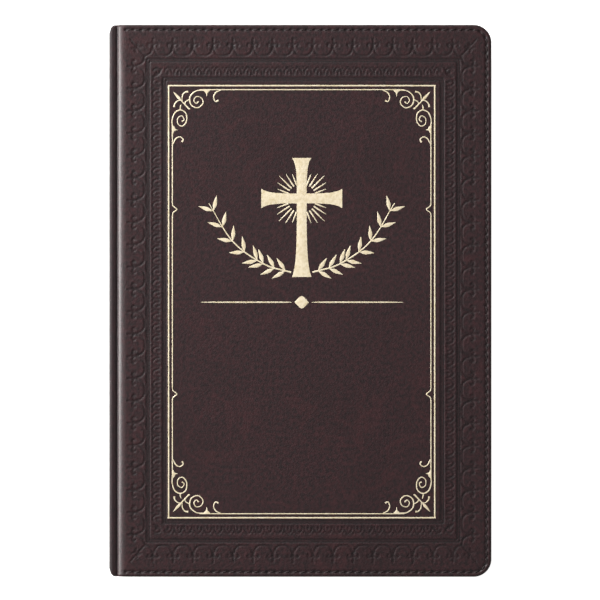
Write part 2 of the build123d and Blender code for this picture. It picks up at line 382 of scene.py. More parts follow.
# %% Gold foil material
RUB = 1.4
gold_foil, tree, shader = new_material("hot_stamped_gold_foil")
rest = add_node(tree, "Attribute", attribute_name="rest").outputs["Vector"]
rub = add_node(tree, "TexNoise", {"Vector": rest, "Scale": 1 / (RUB * MM), "Detail": 4.0})
rub_share = add_node(
    tree, "MapRange", {"Value": rub.outputs["Fac"], "From Min": 0.42, "From Max": 0.72}
)
foil_tones = ("#dfd1b5", "#cdbc98")
foil_pebble = add_node(tree, "TexVoronoi", {"Vector": rest, "Scale": 1 / (GRAIN * MM)})
pebbles = foil_pebble.outputs["Distance"]
tones_and_bump(tree, shader, rub_share.outputs["Result"], foil_tones, pebbles, 0.4, 0.08, invert=True)
shader.inputs["Metallic"].default_value = 0.25
shader.inputs["Roughness"].default_value = 0.42

# %% [markdown]
# ## The shape of a cover's leather
# One hide covers the spine, the two creases and both boards. It is made here as two halves that meet
# along the middle of the spine. Each half starts as a profile: the curve that a cut across the spine
# would show, from the middle of the spine, down into the crease, over the rounded shoulder and along
# the flat board. The profile is carried along the height, and every ornament is then a small
# displacement along the surface normal. This keeps real depth in every pressed line. The spine is a
# squared curve, flat on its sides and rounded at its two long edges, as a stiffened spine is.

# %% Profile across the spine, crease and board
EDGE = 1.0
SHOULDER_WIDE = 3.9
SHOULDER_HIGH = 2.2
SPINE_SQUARENESS = 14
SPINE_HALF = 14.6
PROUD = 0.25
CREASE_DIP = 0.35
CREASE_WIDE = 0.45
BLUR = 0.35
BLUR_REACH = 1.6
BLUR_STEPS = 12
SPINE_FOLD = 1.05
CORNER = 7.5
SPINE_CORNER = 2.6
TURN_IN = 12.0
STEP = 0.1

spine_bulge = crease_x - left_x + PROUD
arc = np.linspace(0, math.pi / 2, 400)
spine_power = 2 / SPINE_SQUARENESS
roll = np.linspace(0, math.pi / 2, 50)
flat_x = np.arange(crease_x + SHOULDER_WIDE + STEP, right_x - EDGE, STEP)
raw_x = np.concatenate(
    [
        crease_x - spine_bulge * np.cos(arc) ** spine_power,
        crease_x + SHOULDER_WIDE * (1 - np.cos(roll)),
        flat_x,
        [right_x - EDGE],
    ]
)
raw_z = np.concatenate(
    [
        mid_z + SPINE_HALF * np.sin(arc) ** spine_power,
        thickness - SHOULDER_HIGH * (1 - np.sin(roll)),
        np.full(len(flat_x) + 1, thickness),
    ]
)
raw_s = np.concatenate([[0], np.cumsum(np.hypot(np.diff(raw_x), np.diff(raw_z)))])
even_s = np.arange(0, raw_s[-1], STEP)
even_x = np.interp(even_s, raw_s, raw_x)
even_z = np.interp(even_s, raw_s, raw_z)
crease_s = raw_s[len(arc) - 1]
even_z -= CREASE_DIP * np.exp(-(((even_s - crease_s) / CREASE_WIDE) ** 2))
kernel = np.exp(-((np.arange(-BLUR_STEPS, BLUR_STEPS + 1) * STEP / BLUR) ** 2) / 2)
kernel /= kernel.sum()
near = np.clip(2 - np.abs(even_s - crease_s) / BLUR_REACH, 0, 1)
for line in (even_x, even_z):
    soft = np.convolve(np.pad(line, BLUR_STEPS, mode="edge"), kernel, mode="valid")
    line += near * (soft - line)
slope_x = np.gradient(even_x, even_s)
slope_z = np.gradient(even_z, even_s)
slope = np.hypot(slope_x, slope_z)


def profile(s):
    """Point and outward normal of the leather's profile, at the length s from the spine's middle."""
    x = np.interp(s, even_s, even_x)
    z = np.interp(s, even_s, even_z)
    normal_x = np.interp(s, even_s, -slope_z / slope)
    normal_z = np.interp(s, even_s, slope_x / slope)
    return x, z, normal_x, normal_z


flat_shift = raw_s[-1] - (right_x - EDGE)
print(f"crease at {crease_s:.1f} mm of {raw_s[-1]:.1f} mm")

# %% [markdown]
# ## Pressed borders
# Blind tooling is done with heated brass rolls and dies, without foil. From the outside in there is a
# row of scallops with a small sprig on each cusp, a double rule, a row of little arches with a leaf
# in each, and a second double rule. A motif is drawn once, as short strokes in its own small
# plane: t runs along the border from the motif's middle, w runs outwards. Folding the border's
# length by the motif's period repeats it all round.

# %% Motifs as strokes
BORDER_CENTRE = (1.2, 0.1)
RULES = ((65.2, 100.9), (58.35, 93.0))
RULE_GAP = 0.5
SCALLOP_BASE = (66.5, 102.75)
SCALLOP_PERIOD = (8.4, 9.37)
ARCH_BASE = (59.9, 94.5)
ARCH_PERIOD = (4.2, 4.7)


def arc_stroke(centre, radii, start, stop, count=7):
    """Points along part of an ellipse, from one angle to another in degrees."""
    angles = np.radians(np.linspace(start, stop, count))
    return np.c_[centre[0] + radii[0] * np.cos(angles), centre[1] + radii[1] * np.sin(angles)]


scallop_strokes = [
    arc_stroke((3.4, 3.4), (3.0, 3.3), 180, 270, 9),
    np.array([(3.4, 0.1), (4.8, 0.1)]),
    np.array([(0.0, 3.2), (0.0, 7.3)]),
    np.array([(0.0, 3.9), (0.7, 4.9), (1.5, 5.3), (2.3, 5.0), (2.4, 4.3), (1.8, 4.0)]),
]
arch_strokes = [
    arc_stroke((0.0, 0.6), (1.6, 2.7), -5, 90, 8),
    np.array([(0.0, 0.6), (0.0, 1.7)]),
    np.array([(2.1, 3.1), (2.1, 3.5)]),
]
corner_strokes = [
    np.array([(-0.2, -0.2), (2.4, 2.6), (6.2, 7.0)]),
    np.array([(1.4, 3.6), (2.9, 3.9), (3.3, 5.4)]),
    np.array([(3.6, 1.4), (3.9, 2.9), (5.4, 3.3)]),
]
arch_corner_strokes = [
    arc_stroke((1.6, 1.6), (1.5, 1.5), 20, 300, 10),
    np.array([(1.6, 1.6), (1.9, 1.2), (1.4, 0.9)]),
    np.array([(-0.6, 3.0), (0.2, 1.6), (1.4, 0.2), (3.0, -0.6)]),
]


def stroke_distance(t, w, strokes):
    """Distance of each point to the nearest of some strokes."""
    nearest = np.full(t.shape, 9.0)
    for stroke in strokes:
        for (t0, w0), (t1, w1) in zip(stroke[:-1], stroke[1:]):
            span = (t1 - t0) ** 2 + (w1 - w0) ** 2
            along = np.clip(((t - t0) * (t1 - t0) + (w - w0) * (w1 - w0)) / span, 0, 1)
            away = np.hypot(t - t0 - along * (t1 - t0), w - w0 - along * (w1 - w0))
            nearest = np.minimum(nearest, away)
    return nearest


def folded(length, period):
    """Length along a border, folded to the distance from the nearest motif's middle."""
    return np.abs(np.mod(length, period) - period / 2)


def border_distance(x, y, base, periods, strokes, corner, overlap):
    """Distance to a border of repeated motifs on the four sides of a rectangle."""
    out_x = np.abs(x) - base[0]
    out_y = np.abs(y) - base[1]
    along_x = folded(x, periods[0])
    along_y = folded(y, periods[1]) * periods[0] / periods[1]
    inside_x = out_x < overlap
    inside_y = out_y < overlap
    level = np.where(inside_x, stroke_distance(along_x, out_y, strokes), 9.0)
    upright = np.where(inside_y, stroke_distance(along_y, out_x, strokes), 9.0)
    corners = stroke_distance(out_x, out_y, corner)
    return np.minimum(np.minimum(level, upright), corners)


# %% Stitch holes along the three open edges
STITCH_INSET = 2.1
STITCH_PITCH = 3.3
STITCH_START = 3.4


def open_edge_path(inset):
    """Line that follows tail, fore-edge and head at an inset, as points a small step apart."""
    radius = CORNER - inset
    x_start = crease_x + STITCH_START
    x_turn = right_x - CORNER
    y_turn = half_height - CORNER
    turn = np.linspace(0, math.pi / 2, 30)
    lower = np.c_[x_turn + radius * np.sin(turn), -y_turn - radius * np.cos(turn)]
    upper = np.c_[x_turn + radius * np.cos(turn), y_turn + radius * np.sin(turn)]
    tail = [(x_start, -half_height + inset)]
    head = [(x_start, half_height - inset)]
    return np.concatenate([tail, lower, upper, head])


def walk(path, lengths):
    """Points and directions on a path at some lengths along it."""
    steps = np.hypot(*np.diff(path, axis=0).T)
    total = np.concatenate([[0], np.cumsum(steps)])
    behind, places, ahead = (
        np.c_[np.interp(lengths + k, total, path[:, 0]), np.interp(lengths + k, total, path[:, 1])]
        for k in (-0.2, 0, 0.2)
    )
    headings = ahead - behind
    return places, headings / np.hypot(*headings.T)[:, None]


stitch_path = open_edge_path(STITCH_INSET)
stitch_length = np.hypot(*np.diff(stitch_path, axis=0).T).sum()
stitch_count = int(stitch_length / STITCH_PITCH)
hole_lengths = np.linspace(0.2, stitch_length - 0.2, stitch_count + 1)
holes = walk(stitch_path, hole_lengths)[0]
print(f"{stitch_count} stitches of {stitch_length / stitch_count:.2f} mm on each cover")

# %% Relief of a cover: how far each point is pressed in
GROOVE = 0.28
MOTIF = 0.31
MOTIF_DEPTH = 0.25
RULE_LIP = 0.05
MOTIF_LIP = 0.06
CHANNEL = 0.5
CHANNEL_DEPTH = 0.22
HOLE = 0.5
HOLE_DEPTH = 0.3


def ridge_and_groove(distance, half_width):
    """A tooled line: a rounded groove with a slightly raised lip on both sides."""
    groove = np.exp(-((distance / half_width) ** 2))
    lip = np.exp(-(((distance - 2.1 * half_width) / half_width) ** 2))
    return groove, lip


def relief(x, y, full):
    """Displacement along the normal, in millimetres, and the darkened share of each point: tooling, and
    painted shade in the stitch holes.
    """
    border_x = x - BORDER_CENTRE[0]
    border_y = y - BORDER_CENTRE[1]
    height = np.zeros(x.shape)
    tooling_and_painted_shade = np.zeros(x.shape)
    for half_x, half_y in RULES:
        away = np.maximum(np.abs(border_x) - half_x, np.abs(border_y) - half_y)
        groove, lip = ridge_and_groove(np.abs(np.abs(away) - RULE_GAP), GROOVE)
        height += -GROOVE * groove + RULE_LIP * lip
        tooling_and_painted_shade = np.maximum(tooling_and_painted_shade, groove)
    if full:
        outer = border_distance(
            border_x, border_y, SCALLOP_BASE, SCALLOP_PERIOD, scallop_strokes, corner_strokes, 0.3
        )
        inner = border_distance(
            border_x, border_y, ARCH_BASE, ARCH_PERIOD, arch_strokes, arch_corner_strokes, -1.6
        )
        groove, lip = ridge_and_groove(np.minimum(outer, inner), MOTIF)
        height += -MOTIF_DEPTH * groove + MOTIF_LIP * lip
        tooling_and_painted_shade = np.maximum(tooling_and_painted_shade, 0.7 * groove)
    corner_x = x - (right_x - CORNER)
    corner_y = np.abs(y) - (half_height - CORNER)
    round_edge = CORNER - np.hypot(corner_x, corner_y)
    straight_edge = np.minimum(right_x - x, half_height - np.abs(y))
    edge = np.where((corner_x > 0) & (corner_y > 0), round_edge, straight_edge)
    channel = np.exp(-(((edge - STITCH_INSET) / CHANNEL) ** 4)) * (x > crease_x + STITCH_START - 0.6)
    height -= CHANNEL_DEPTH * channel
    rows = np.where(np.abs(edge - STITCH_INSET).ravel() < 1.2)[0]
    flat_points = np.c_[x.ravel(), y.ravel()][rows]
    gaps = np.hypot(
        flat_points[:, None, 0] - holes[None, :, 0], flat_points[:, None, 1] - holes[None, :, 1]
    ).min(1)
    hole = np.zeros(x.size)
    hole[rows] = np.exp(-((gaps / HOLE) ** 2))
    hole = hole.reshape(x.shape)
    height -= HOLE_DEPTH * hole
    # The channel's floor is darkened as tooling. The stitch holes are darkened fully as painted shade.
    tooling_and_painted_shade = np.maximum(tooling_and_painted_shade, np.maximum(0.5 * channel, hole))
    return height, tooling_and_painted_shade


# %% [markdown]
# ## Building a skin
# A skin is a grid of quads over profile length and height. Grid lines are placed so that one runs on
# every groove of the straight rules, which keeps those lines crisp. The flat field inside the gold
# frame needs no fine grid, so its quads are merged to large cells. The square corners of the grid
# are mapped to quarter discs, which keeps four-sided faces. Rows of quads then roll the leather
# over the board's edge and fold it in underneath.


# %% Grid lines
def grid_lines(anchors, step):
    """Values from the first anchor to the last, evenly spaced between each pair of anchors."""
    lines = [anchors[0]]
    for low, high in zip(anchors[:-1], anchors[1:]):
        count = max(1, round((high - low) / step))
        lines.extend(low + (high - low) * (i + 1) / count for i in range(count))
    return np.array(lines)


def round_corner(u, v):
    """Map the unit square to a quarter disc, without moving its two inner sides."""
    return u * np.sqrt(1 - v**2 / 2), v * np.sqrt(1 - u**2 / 2)


# %% Skin maker
EDGE_TURNS = 4
FIELD_CELL = 8
FIELD_MARGIN = 3.4
SPINE_DRAW = 14

# Where the polished wax lies, past the crease: its middle, both its widths, and how it thins out
# towards the head. The last number darkens the leather's colour on the spine: painted shade.
WAX_PEAK = 1.4
WAX_START = 1.2
WAX_REACH = 3.0
WAX_TAPER = 24.0
WAX_LEAST = 0.35
WAX_FADE = 8 * WAX_TAPER
SPINE_PAINTED_SHADE = 0.5


def make_skin(name, step, full, flip):
    """One half of the case's leather. flip mirrors it through the thickness, for the back cover."""
    rule_x = sorted(BORDER_CENTRE[0] + side * half_x for half_x, _ in RULES for side in (-1, 1))
    rule_y = sorted(BORDER_CENTRE[1] + side * half_y for _, half_y in RULES for side in (-1, 1))
    top_y = half_height - EDGE
    shoulder_s = crease_s + SHOULDER_WIDE + 1
    s_lines = np.concatenate(
        [
            grid_lines([0, crease_s - 2], 1.0),
            grid_lines([crease_s - 2, shoulder_s], 0.25)[1:],
            grid_lines([shoulder_s, *[x + flat_shift for x in rule_x], raw_s[-1]], step)[1:],
        ]
    )
    y_lines = grid_lines([-top_y, *rule_y, top_y], step)
    s, y = np.meshgrid(s_lines, y_lines, indexing="ij")

    # Round the two fore-edge corners of the plan, and draw in the spine's head and tail
    arc_radius = CORNER - EDGE
    u = (s - (raw_s[-1] - arc_radius)) / arc_radius
    v = (np.abs(y) - (top_y - arc_radius)) / arc_radius
    corner = (u > 0) & (v > 0)
    new_u, new_v = round_corner(np.clip(u, 0, 1), np.clip(v, 0, 1))
    s = np.where(corner, raw_s[-1] - arc_radius + new_u * arc_radius, s)
    y = np.where(corner, np.sign(y) * (top_y - arc_radius + new_v * arc_radius), y)
    x, z, normal_x, normal_z = profile(s)
    inset = np.clip(left_x + SPINE_CORNER - x, 0, SPINE_CORNER)
    drawn_in = SPINE_CORNER - np.sqrt(SPINE_CORNER**2 - inset**2)
    y = y - np.sign(y) * drawn_in * np.clip((np.abs(y) - top_y + SPINE_DRAW) / SPINE_DRAW, 0, 1) ** 2
    height, tooling_and_painted_shade = relief(x, y, full)
    on_board = np.clip((x - crease_x - 1.5) / 1.5, 0, 1)
    height = height * on_board
    # Painted shade: the colour is darkened along the bottom of the crease, and the same band gets the
    # wax coat.
    tooling_and_painted_shade = np.maximum(tooling_and_painted_shade * on_board, np.exp(-(((s - crease_s) / 0.6) ** 2)))
    grid = np.stack([x + normal_x * height, y, z + normal_z * height], -1)
    rows, columns = s.shape
    index = np.arange(rows * columns).reshape(rows, columns)

    # Faces: fine quads outside the field, merged cells inside it
    field_x = RULES[1][0] - FIELD_MARGIN
    field_y = RULES[1][1] - FIELD_MARGIN
    inside_x = np.where(np.abs(x[:, columns // 2] - BORDER_CENTRE[0]) < field_x)[0]
    inside_y = np.where(np.abs(y[rows // 2] - BORDER_CENTRE[1]) < field_y)[0]
    i0, j0 = inside_x[0], inside_y[0]
    i1 = i0 + (inside_x[-1] - i0) // FIELD_CELL * FIELD_CELL
    j1 = j0 + (inside_y[-1] - j0) // FIELD_CELL * FIELD_CELL
    faces = []
    for i in range(rows - 1):
        for j in range(columns - 1):
            if not (i0 <= i < i1 and j0 <= j < j1):
                faces.append((index[i, j], index[i + 1, j], index[i + 1, j + 1], index[i, j + 1]))
    for i in range(i0, i1, FIELD_CELL):
        for j in range(j0, j1, FIELD_CELL):
            i_end, j_end = i + FIELD_CELL, j + FIELD_CELL
            along_i = range(i, i_end, 1 if j == j0 else FIELD_CELL)
            along_j = range(j, j_end, 1 if i_end == i1 else FIELD_CELL)
            back_i = range(i_end, i, -1 if j_end == j1 else -FIELD_CELL)
            back_j = range(j_end, j, -1 if i == i0 else -FIELD_CELL)
            cell = [index[k, j] for k in along_i] + [index[i_end, k] for k in along_j]
            cell += [index[k, j_end] for k in back_i] + [index[i, k] for k in back_j]
            faces.append(tuple(cell))

    # The open boundary, from the spine's head over the fore-edge to the spine's tail
    last = rows - 1
    head = [(i, columns - 1) for i in range(rows)]
    fore = [(last, j) for j in range(columns - 2, -1, -1)]
    tail = [(i, 0) for i in range(last - 1, -1, -1)]
    rim = np.array(head + fore + tail)
    rim_s = s[rim[:, 0], rim[:, 1]]
    rim_y = y[rim[:, 0], rim[:, 1]]
    rim_x, rim_z, rim_nx, rim_nz = profile(rim_s)
    over_x = np.clip(rim_s - (raw_s[-1] - arc_radius), 0, None)
    over_y = np.clip(np.abs(rim_y) - (top_y - arc_radius), 0, None) * np.sign(rim_y)
    at_fore = (rim[:, 0] == last) & (np.abs(over_y) < 1e-6)
    at_end = (over_x < 1e-6) & ~at_fore
    out_s = np.where(at_fore, 1.0, np.where(at_end, 0.0, over_x))
    out_y = np.where(at_fore, 0.0, np.where(at_end, np.sign(rim_y), over_y))
    size = np.hypot(out_s, out_y)
    out_s, out_y = out_s / size, out_y / size
    fold = np.clip((rim_s - crease_s + 0.5) / 1.7, 0, 1)
    fold = fold * fold * (3 - 2 * fold)
    inner_x = (1 - fold) * (rim_x - SPINE_FOLD * rim_nx) + fold * np.maximum(rim_x, crease_x + 0.8)
    inner_z = (1 - fold) * (rim_z - SPINE_FOLD * rim_nz) + fold * turned_z
    down_x, down_z = inner_x - rim_x, inner_z - rim_z
    depth = np.hypot(down_x, down_z)
    down_x, down_z = down_x / depth, down_z / depth
    outer_round = np.minimum(EDGE, 0.55 * depth)
    inner_round = np.minimum(0.4, 0.4 * depth)
    layers = []
    quarter = [math.pi / 2 * (k + 1) / EDGE_TURNS for k in range(EDGE_TURNS)]
    for a in quarter:
        layers.append((EDGE * math.sin(a), outer_round * (1 - math.cos(a))))
    for a in [0] + quarter[1::2]:
        low = depth - inner_round * (1 - math.sin(a))
        layers.append((EDGE - 0.4 * (1 - math.cos(a)), low))
    ring_points = []
    for out, down in layers:
        ring_points.append(
            np.c_[
                rim_x + rim_nz * out_s * out + down_x * down,
                rim_y + out_y * out,
                rim_z - rim_nx * out_s * out + down_z * down,
            ]
        )
    fold_end_x = np.minimum(inner_x, right_x - TURN_IN)
    fold_end_y = np.sign(rim_y) * np.minimum(np.abs(rim_y), half_height - TURN_IN)
    ring_points.append(np.c_[fold_end_x, fold_end_y, inner_z])
    points = [grid.reshape(-1, 3), *ring_points]
    count = len(rim)
    previous = index[rim[:, 0], rim[:, 1]]
    start = rows * columns
    for k in range(len(ring_points)):
        current = np.arange(start, start + count)
        for m in range(count - 1):
            faces.append((previous[m], previous[m + 1], current[m + 1], current[m]))
        previous = current
        start += count

    # The lining side of the spine and crease, as long quads from the head's fold to the tail's
    hinge = int(np.searchsorted(s_lines, crease_s + 2.2))
    for i in range(hinge):
        faces.append((previous[i + 1], previous[i], previous[count - 1 - i], previous[count - 2 - i]))
    points = np.concatenate(points)
    beyond = s - crease_s - WAX_PEAK
    reach = WAX_REACH * np.clip((top_y - y) / WAX_TAPER, WAX_LEAST, 1)
    shoulder = np.exp(-((beyond / np.where(beyond < 0, WAX_START, reach)) ** 2))
    shoulder = shoulder * (0.55 + 0.45 * np.clip((top_y - y) / WAX_FADE, 0, 1))
    spare = np.zeros(len(points) - tooling_and_painted_shade.size)
    # Painted shade: the spine's leather is darkened.
    spine_painted_shade = SPINE_PAINTED_SHADE * (s < crease_s)
    pressed = np.concatenate([np.maximum(tooling_and_painted_shade, spine_painted_shade).ravel(), spare])
    polish = np.concatenate([np.maximum(tooling_and_painted_shade, shoulder).ravel(), spare])
    if flip:
        points[:, 2] = thickness - points[:, 2]
        faces = [tuple(reversed(face)) for face in faces]
    return make_piece(name, points, faces, [cover_leather], pressed=pressed, polish=polish)


# %% Front and back skins
HINGE_LOW = turned_z + 0.3
BEND = (0.483, 0.372)

for side, fineness, full in (("front", 0.49, True), ("back", 0.8, False)):
    skin = make_skin(f"{side}_leather", fineness, full, side == "back")
    start_z, end_z = HINGE_LOW, HINGE_LOW + BEND[1]
    if side == "back":
        start_z, end_z = thickness - start_z, thickness - end_z
    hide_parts(f"{side}_cover_skin", "spine_skin")
    end = ((crease_x + BEND[0]) * MM, 0, end_z * MM)
    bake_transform(skin)

# %% [markdown]
# ## Stitching
# A row of lock stitches in brown waxed thread holds the turned-in edge. Each visible stitch is a
# short length of thread that comes up out of one hole and goes down into the next, so it is made as
# a small bent tube, thinner and lower at both ends and turned a little across the row.

# %% Thread material
STRAND = 0.22


def thread_material(name, light, dark, strand, roughness):
    """Twisted thread: two tones in fine slanted strands, drawn at the size given."""
    material, tree, shader = new_material(name)
    rest = add_node(tree, "Attribute", attribute_name="rest").outputs["Vector"]
    wave = add_node(
        tree,
        "TexWave",
        {"Vector": rest, "Scale": 0.31 / (strand * MM), "Distortion": 1.5, "Detail": 2.0},
        bands_direction="DIAGONAL",
    )
    twist = wave.outputs["Fac"]
    tones_and_bump(tree, shader, twist, (dark, light), twist, 0.6, 0.06)
    shader.inputs["Roughness"].default_value = roughness
    shader.inputs["Specular IOR Level"].default_value = 0.25
    shader.inputs["Sheen Weight"].default_value = 0.05
    return material


waxed_thread = thread_material("waxed_thread", "#2b1f1f", "#191112", STRAND, 0.6)

# %% Stitches
THREAD = 0.27
STITCH_SLANT = 14.0
STITCH_COVER = 0.74
TUBE_SIDES = 8
TUBE_RINGS = 9


def make_stitches(name, flip):
    """All the visible stitches of one cover, as one piece of separate short tubes."""
    middles, headings = walk(stitch_path, (hole_lengths[:-1] + hole_lengths[1:]) / 2)
    slant = math.radians(STITCH_SLANT)
    reach = STITCH_COVER * stitch_length / stitch_count / 2
    points = []
    faces = []
    for (x, y), (hx, hy) in zip(middles, headings):
        ax = hx * math.cos(slant) - hy * math.sin(slant)
        ay = hx * math.sin(slant) + hy * math.cos(slant)
        first = len(points)
        for ring in range(TUBE_RINGS):
            share = 2 * ring / (TUBE_RINGS - 1) - 1
            lift = thickness - 0.12 - 0.34 * share**4
            radius = THREAD * math.sqrt(1.03 - share**2 * 0.75)
            for side in range(TUBE_SIDES):
                angle = 2 * math.pi * side / TUBE_SIDES
                across = radius * math.cos(angle)
                points.append(
                    (
                        x + ax * share * reach - ay * across,
                        y + ay * share * reach + ax * across,
                        lift + 0.8 * radius * math.sin(angle),
                    )
                )
        for ring in range(TUBE_RINGS - 1):
            for side in range(TUBE_SIDES):
                a = first + ring * TUBE_SIDES + side
                b = first + ring * TUBE_SIDES + (side + 1) % TUBE_SIDES
                faces.append((a, a + TUBE_SIDES, b + TUBE_SIDES, b))
        faces.append(tuple(range(first, first + TUBE_SIDES)))
        end = first + (TUBE_RINGS - 1) * TUBE_SIDES
        faces.append(tuple(range(end + TUBE_SIDES - 1, end - 1, -1)))
    points = np.array(points)
    if flip:
        points[:, 2] = thickness - points[:, 2]
        faces = [tuple(reversed(face)) for face in faces]
    return make_piece(name, points, faces, [waxed_thread])


for side, flip in (("front", False), ("back", True)):
    stitches = make_stitches(f"{side}_edge_stitches", flip)
    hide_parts(f"{side}_stitching")
    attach(stitches, f"{side}_cover")

# %% [markdown]
# ## Gold ornaments
# Every gold line is a stroke: a few points with a width at each. A smooth curve runs through the
# points, and a thin domed ribbon is laid along it, so that lines swell and taper as they do when a
# die is cut by hand. Round each line lies the same ribbon made wider and lower in darkened leather,
# partly the hot die's burnished rim and partly painted shade round the gold. One corner of the frame
# is drawn and mirrored to the rest.

# %% Stroke maker
FOIL_LIFT = 0.06
FOIL_EDGE = -0.03
RIM_EXTRA = 0.55
RIM_LIFT = 0.02
RIM_POLISH = 0.3
RIBBON = (-1.0, -0.55, 0.0, 0.55, 1.0)
CURVE_STEPS = 5


def smooth_stroke(stroke):
    """A stroke's points and widths with more points between them, on a Catmull-Rom curve."""
    keys = np.array(stroke, float)
    padded = np.vstack([2 * keys[0] - keys[1], keys, 2 * keys[-1] - keys[-2]])
    made = []
    for k in range(1, len(padded) - 2):
        p0, p1, p2, p3 = padded[k - 1 : k + 3]
        for t in np.linspace(0, 1, CURVE_STEPS, endpoint=False):
            made.append(
                0.5
                * (
                    2 * p1
                    + (p2 - p0) * t
                    + (2 * p0 - 5 * p1 + 4 * p2 - p3) * t**2
                    + (3 * p1 - p0 - 3 * p2 + p3) * t**3
                )
            )
    made.append(keys[-1])
    return np.array(made)


def lay_ribbon(points, faces, stroke, place, extra, crown):
    """Add one stroke's ribbon, wider by extra and as high as crown. place makes the points."""
    line = smooth_stroke(stroke) if len(stroke) > 2 else np.array(stroke, float)
    line[:, 2] += extra
    ahead = np.gradient(line[:, :2], axis=0)
    ahead /= np.maximum(np.hypot(*ahead.T), 1e-6)[:, None]
    first = sum(len(p) for p in points)
    for offset in RIBBON:
        half = line[:, 2] / 2 * offset
        lift = FOIL_EDGE + (crown - FOIL_EDGE) * (1 - offset**4)
        points.append(place(line[:, 0] - ahead[:, 1] * half, line[:, 1] + ahead[:, 0] * half, lift))
    count = len(line)
    for row in range(len(RIBBON) - 1):
        for k in range(count - 1):
            a = first + row * count + k
            faces.append((a, a + 1, a + count + 1, a + count))


def stamp(name, strokes, place, body, slot, extra, crown):
    """Ribbons along some strokes as one piece, in gold or as the dark rim under it: the die's mark and
    painted shade.
    """
    points = []
    faces = []
    for stroke in strokes:
        lay_ribbon(points, faces, stroke, place, extra, crown)
    points = np.concatenate(points)
    material = gold_foil if slot == "gold_foil" else cover_leather
    # The rim is darkened all over: the die's mark, and painted shade round the gold.
    burnished = np.ones(len(points))
    piece = make_piece(name, points, faces, [material], pressed=burnished, polish=RIM_POLISH * burnished)
    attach(piece, body)
    return piece


def stamp_gold(name, die_mark_and_painted_shade_rim_name, strokes, place, body):
    """A gold piece with its rim. The gold is returned, because it replaces a CAD node."""
    gold = stamp(name, strokes, place, body, "gold_foil", 0.0, FOIL_LIFT)
    stamp(die_mark_and_painted_shade_rim_name, strokes, place, body, "cover_leather", RIM_EXTRA, RIM_LIFT)
    return gold


def on_front(x, y, lift):
    """Points on the flat front cover."""
    return np.c_[x, y, np.full(len(x), thickness + lift)]


# %% Gold frame
FOIL_CENTRE = (0.56, -0.38)
OUTER_FOIL = (55.88, 90.74)
INNER_FOIL = (54.3, 89.06)
OUTER_LINE = 0.78
INNER_LINE = 0.55
FLOURISH_END = (43.0, 74.5)
NOTCH_Y = 38.8
NOTCH_HALF = 2.4
NOTCH_DEPTH = 1.8

# One corner, with u running inwards from the outer line's side and v inwards from its end
corner_gold = [
    [(2.0, 2.6, 0.2), (3.2, 4.0, 1.1), (4.3, 5.2, 1.5), (5.4, 6.4, 0.6), (8.6, 9.8, 0.9)],
    [(5.6, 6.5, 0.3), (5.8, 4.2, 0.6), (6.8, 2.8, 0.7), (8.2, 2.5, 1.1)],
    [(5.2, 6.2, 0.3), (3.8, 6.4, 0.6), (2.6, 7.6, 0.7), (2.3, 9.0, 1.1)],
    [(8.9, 9.8, 0.7), (7.2, 8.4, 0.5), (7.0, 6.9, 0.5), (8.9, 5.7, 0.6)],
    [(5.2, 8.0, 0.3), (4.9, 9.2, 0.7), (4.9, 10.3, 0.5)],
    [
        *[(14.8, 2.0, 0.5), (11.6, 2.2, 0.6), (9.0, 4.6, 0.7), (9.4, 8.0, 0.7)],
        *[(12.2, 9.3, 0.6), (14.4, 7.4, 0.6), (13.7, 5.1, 0.5), (11.6, 4.6, 0.5)],
        *[(10.6, 6.2, 0.5), (11.6, 7.5, 0.5), (12.6, 6.6, 0.8)],
    ],
    [
        *[(1.6, 17.4, 0.6), (1.5, 14.4, 0.6), (2.6, 11.4, 0.7), (5.0, 10.2, 0.7)],
        *[(7.3, 11.7, 0.6), (7.5, 15.0, 0.6), (5.8, 17.0, 0.6), (3.9, 16.0, 0.5)],
        *[(3.9, 13.6, 0.5), (5.6, 12.7, 0.5), (6.5, 14.3, 0.5), (5.5, 15.1, 0.8)],
    ],
    [(16.0, 1.6, 4.4), (16.0, 2.3, 2.8), (16.0, 3.2, 0.9), (16.0, 4.5, 0.15)],
    [(1.5, 18.4, 5.6), (2.2, 18.4, 3.2), (2.8, 18.5, 1.0), (3.8, 18.6, 0.15)],
    [(21.8, 1.9, 0.4), (19.8, 2.9, 0.7), (18.9, 4.8, 0.6), (19.6, 6.6, 0.6), (20.9, 6.2, 1.0)],
    [(1.8, 24.6, 0.4), (3.0, 22.3, 0.7), (4.7, 21.5, 0.6), (6.1, 22.5, 0.6), (5.6, 23.7, 1.0)],
]
frame_strokes = []
for mirror_x in (-1, 1):
    for mirror_y in (-1, 1):
        for stroke in corner_gold:
            placed = [
                (
                    FOIL_CENTRE[0] + mirror_x * (OUTER_FOIL[0] - u),
                    FOIL_CENTRE[1] + mirror_y * (OUTER_FOIL[1] - v),
                    width,
                )
                for u, v, width in stroke
            ]
            frame_strokes.append(placed)
outer_x, outer_y = OUTER_FOIL
inner_x, inner_y = INNER_FOIL
